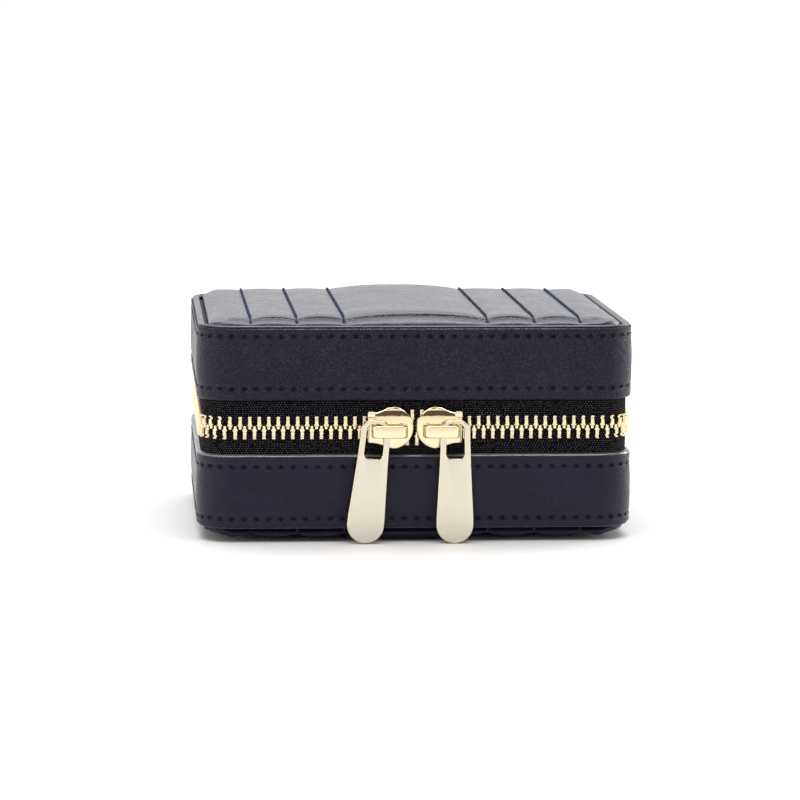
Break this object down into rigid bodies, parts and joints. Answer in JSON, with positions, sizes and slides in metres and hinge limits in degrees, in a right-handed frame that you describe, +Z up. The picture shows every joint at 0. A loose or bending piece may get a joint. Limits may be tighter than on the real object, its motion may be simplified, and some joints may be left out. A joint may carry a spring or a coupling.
{
  "type": "leather jewellery case",
  "caption": "Rounded rectangular leather jewellery case with a quilted lid, a metal zip round three sides, two sliders with tag pulls, a back hinge and a lined inside.",
  "frame": {"origin": "on the table under the middle of the case", "axes": "+X to the right along the front, -Y towards the front where the zip pulls hang, +Z up"},
  "size_m": [0.1146, 0.0972, 0.06],
  "materials": {
    "navy_leather": "smooth, fine grain, soft sheen",
    "navy_thread": "polyester sewing thread",
    "black_tape": "woven herringbone zip tape",
    "pale_gold": "pale gold plating, brushed faces and polished edges",
    "board": "grey-brown rigid board",
    "lining": "short-pile velvet lining",
    "roll_foam": "velvet over foam",
    "mirror": "silvered glass"
  },
  "bodies": {
    "base": {"base_frame": "board", "base_side_band": "navy_leather", "base_panel": "navy_leather", "base_panel_stitches": "navy_thread", "base_rim_stitches": "navy_thread", "base_zip_stitches": "navy_thread", "base_liner": "lining", "base_zip_tape": "black_tape", "base_zip_teeth": "pale_gold", "base_zip_stops": "pale_gold", "hinge_leather": "navy_leather", "hinge_lining": "lining", "compartment_floor_pad": "lining", "ring_roll_board": "lining", "ring_roll_1": "roll_foam", "ring_roll_2": "roll_foam", "ring_roll_3": "roll_foam", "ring_roll_4": "roll_foam", "ring_roll_5": "roll_foam", "long_divider": "lining", "divider_guides": "lining"},
    "lid": {"lid_frame": "board", "lid_side_band": "navy_leather", "lid_panel": "navy_leather", "lid_panel_stitches": "navy_thread", "lid_rim_stitches": "navy_thread", "lid_zip_stitches": "navy_thread", "lid_liner": "lining", "lid_zip_tape": "black_tape", "lid_zip_teeth": "pale_gold", "lid_zip_stops": "pale_gold", "mirror_backing": "board", "mirror_glass": "mirror", "mirror_surround": "lining"},
    "divider": {"cross_divider": "lining"},
    "left_slider": {"left_slider": "pale_gold", "left_slider_bridge": "pale_gold"},
    "right_slider": {"right_slider": "pale_gold", "right_slider_bridge": "pale_gold"},
    "left_pull": {"left_pull": "pale_gold"},
    "right_pull": {"right_pull": "pale_gold"}
  },
  "joints": [
    {"name": "lid_hinge", "type": "hinge", "parent": "base", "child": "lid", "pos_m": [0, 0.0447, 0.03], "axis": [-1, 0, 0], "range_deg": [0, 105], "deforming": ["hinge_leather", "hinge_lining"]},
    {"name": "left_slider_slide", "type": "slide", "parent": "base", "child": "left_slider", "axis": [-1, 0, 0], "range_m": [0, 0.033], "deforming": ["base_zip_tape", "base_zip_teeth", "lid_zip_tape", "lid_zip_teeth"]},
    {"name": "right_slider_slide", "type": "slide", "parent": "base", "child": "right_slider", "axis": [1, 0, 0], "range_m": [0, 0.033], "deforming": ["base_zip_tape", "base_zip_teeth", "lid_zip_tape", "lid_zip_teeth"]},
    {"name": "left_pull_swing", "type": "hinge", "parent": "left_slider", "child": "left_pull", "pos_m": [-0.01095, -0.0487, 0.0294], "axis": [0, 1, 0], "range_deg": [-19, 84]},
    {"name": "right_pull_swing", "type": "hinge", "parent": "right_slider", "child": "right_pull", "pos_m": [0.00975, -0.0487, 0.0294], "axis": [0, -1, 0], "range_deg": [-12, 90]},
    {"name": "divider_lift", "type": "slide", "parent": "base", "child": "divider", "axis": [0, 0, 1], "range_m": [0, 0.014]}
  ]
}
